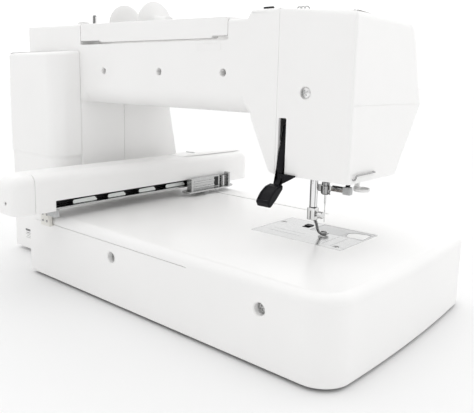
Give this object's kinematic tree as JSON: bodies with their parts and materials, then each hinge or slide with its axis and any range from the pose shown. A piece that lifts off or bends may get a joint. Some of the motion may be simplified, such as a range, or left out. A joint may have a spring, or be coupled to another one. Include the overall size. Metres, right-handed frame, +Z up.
{
  "type": "embroidery machine",
  "caption": "Computer embroidery machine: flat bed, column, arm and sewing head, with a hoop carriage that travels along the bed.",
  "frame": {"origin": "on the floor under the middle of the machine's bounding box", "axes": "+X from the head end to the column and handwheel, +Y to the rear, +Z up"},
  "size_m": [0.553, 0.376, 0.3258],
  "materials": {
    "white_shell": "satin moulded",
    "satin_steel": "brushed",
    "chrome": "polished",
    "cast_metal": "as cast",
    "black_plastic": "satin moulded",
    "grey_plastic": "satin moulded",
    "clear_plastic": "clear moulded",
    "screen_glass": "polished",
    "rubber": "moulded"
  },
  "bodies": {
    "machine": {"bed_cover": "white_shell", "base_plate": "cast_metal", "foot_front_left": "rubber", "foot_rear_left": "rubber", "foot_front_right": "rubber", "foot_rear_right": "rubber", "x_guide_rail": "chrome", "needle_plate": "satin_steel", "bobbin_holder": "black_plastic", "rear_cover": "white_shell", "front_cover": "white_shell", "face_cover": "white_shell", "head_floor": "white_shell", "head_lamp": "clear_plastic", "side_cover": "white_shell", "rear_housing": "white_shell", "machine_frame": "cast_metal", "timing_belt": "rubber", "drive_motor": "cast_metal", "face_thread_guide": "chrome", "top_cover": "white_shell", "spool_pin": "chrome", "spool_holder": "white_shell", "winder_stopper": "white_shell", "thread_guide_cover": "white_shell", "touch_screen": "screen_glass", "power_inlet": "black_plastic"},
    "carriage": {"carriage_cover": "white_shell", "carriage_cap_front": "white_shell", "carriage_cap_rear": "white_shell", "carriage_rail": "satin_steel", "carriage_bracket": "grey_plastic"},
    "hoop_slide": {"hoop_connector": "satin_steel"},
    "handle": {"carrying_handle": "white_shell"},
    "upper_drive": {"handwheel": "white_shell", "main_shaft": "chrome"},
    "lower_drive": {"lower_shaft": "chrome"},
    "hook": {"rotary_hook": "cast_metal"},
    "bobbin_reel": {"bobbin": "clear_plastic"},
    "hook_lid": {"hook_cover": "clear_plastic"},
    "lid_button": {"hook_cover_button": "black_plastic"},
    "needle_drive": {"needle_bar": "chrome", "needle_clamp": "chrome", "needle_clamp_screw": "chrome", "needle": "chrome"},
    "presser": {"presser_bar": "chrome", "presser_foot": "chrome", "foot_screw": "chrome"},
    "lifter": {"presser_lifter": "black_plastic"},
    "take_up": {"take_up_lever": "chrome"},
    "threader": {"threader_lever": "white_shell", "needle_threader": "grey_plastic"},
    "spool_stop": {"spool_cap": "clear_plastic"},
    "winder_slide": {"winder_base": "white_shell"},
    "winder": {"winder_spindle": "chrome"},
    "start_key": {"start_stop_button": "grey_plastic"},
    "needle_key": {"needle_button": "grey_plastic"},
    "cutter_key": {"thread_cutter_button": "grey_plastic"},
    "power_key": {"power_switch": "black_plastic"}
  },
  "joints": [
    {"name": "carriage_travel", "type": "slide", "parent": "machine", "child": "carriage", "axis": [-1, 0, 0], "range_m": [0, 0.2]},
    {"name": "hoop_travel", "type": "slide", "parent": "carriage", "child": "hoop_slide", "axis": [0, 1, 0], "range_m": [0, 0.2]},
    {"name": "handle_fold", "type": "hinge", "parent": "machine", "child": "handle", "pos_m": [0.0235, 0.0435, 0.283], "axis": [1, 0, 0], "range_deg": [0, 90]},
    {"name": "handwheel_turn", "type": "hinge", "parent": "machine", "child": "upper_drive", "pos_m": [0.2715, -0.045, 0.25], "axis": [1, 0, 0], "continuous": true},
    {"name": "lower_shaft_turn", "type": "hinge", "parent": "machine", "child": "lower_drive", "pos_m": [0.2, -0.034, 0.032], "axis": [1, 0, 0], "continuous": true},
    {"name": "hook_turn", "type": "hinge", "parent": "machine", "child": "hook", "pos_m": [-0.179, -0.034, 0.05], "axis": [0, 0, 1], "continuous": true},
    {"name": "bobbin_turn", "type": "hinge", "parent": "machine", "child": "bobbin_reel", "pos_m": [-0.179, -0.034, 0.06], "axis": [0, 0, 1], "continuous": true},
    {"name": "hook_cover_lift", "type": "slide", "parent": "machine", "child": "hook_lid", "axis": [0, 0, 1], "range_m": [0, 0.012]},
    {"name": "hook_cover_release", "type": "slide", "parent": "machine", "child": "lid_button", "axis": [1, 0, 0], "range_m": [0, 0.005], "stiffness_N_per_m": 200, "springref_m": -0.001},
    {"name": "needle_stroke", "type": "slide", "parent": "machine", "child": "needle_drive", "axis": [0, 0, -1], "range_m": [0, 0.028]},
    {"name": "lifter_swing", "type": "hinge", "parent": "machine", "child": "lifter", "pos_m": [-0.1653, 0.044, 0.188], "axis": [1, 0, 0], "range_deg": [0, 30]},
    {"name": "foot_lift", "type": "slide", "parent": "machine", "child": "presser", "axis": [0, 0, 1], "range_m": [0, 0.0055]},
    {"name": "take_up_swing", "type": "hinge", "parent": "machine", "child": "take_up", "pos_m": [-0.189, -0.048, 0.222], "axis": [1, 0, 0], "range_deg": [0, 25]},
    {"name": "threader_pull", "type": "slide", "parent": "machine", "child": "threader", "axis": [0, 0, -1], "range_m": [0, 0.022], "stiffness_N_per_m": 60, "springref_m": -0.01},
    {"name": "spool_cap_slide", "type": "slide", "parent": "machine", "child": "spool_stop", "axis": [-1, 0, 0], "range_m": [0, 0.02]},
    {"name": "winder_shift", "type": "slide", "parent": "machine", "child": "winder_slide", "axis": [1, 0, 0], "range_m": [0, 0.006]},
    {"name": "winder_spin", "type": "hinge", "parent": "winder_slide", "child": "winder", "pos_m": [0.203, -0.006, 0.3], "axis": [0, 0, 1], "continuous": true},
    {"name": "start_stop_press", "type": "slide", "parent": "machine", "child": "start_key", "axis": [0, 1, 0], "range_m": [0, 0.0015], "stiffness_N_per_m": 400, "springref_m": -0.0005},
    {"name": "needle_button_press", "type": "slide", "parent": "machine", "child": "needle_key", "axis": [0, 1, 0], "range_m": [0, 0.0015], "stiffness_N_per_m": 400, "springref_m": -0.0005},
    {"name": "thread_cutter_press", "type": "slide", "parent": "machine", "child": "cutter_key", "axis": [0, 1, 0], "range_m": [0, 0.0015], "stiffness_N_per_m": 400, "springref_m": -0.0005},
    {"name": "power_rocker", "type": "hinge", "parent": "machine", "child": "power_key", "pos_m": [0.26, 0.0235, 0.06], "axis": [0, -1, 0], "range_deg": [0, 12]}
  ],
  "couplings": [
    {"joint": "lower_shaft_turn", "follows": "handwheel_turn", "ratio": 1},
    {"joint": "hook_turn", "follows": "handwheel_turn", "ratio": 2},
    {"joint": "foot_lift", "follows": "lifter_swing", "m_per_rad": 0.0105}
  ]
}
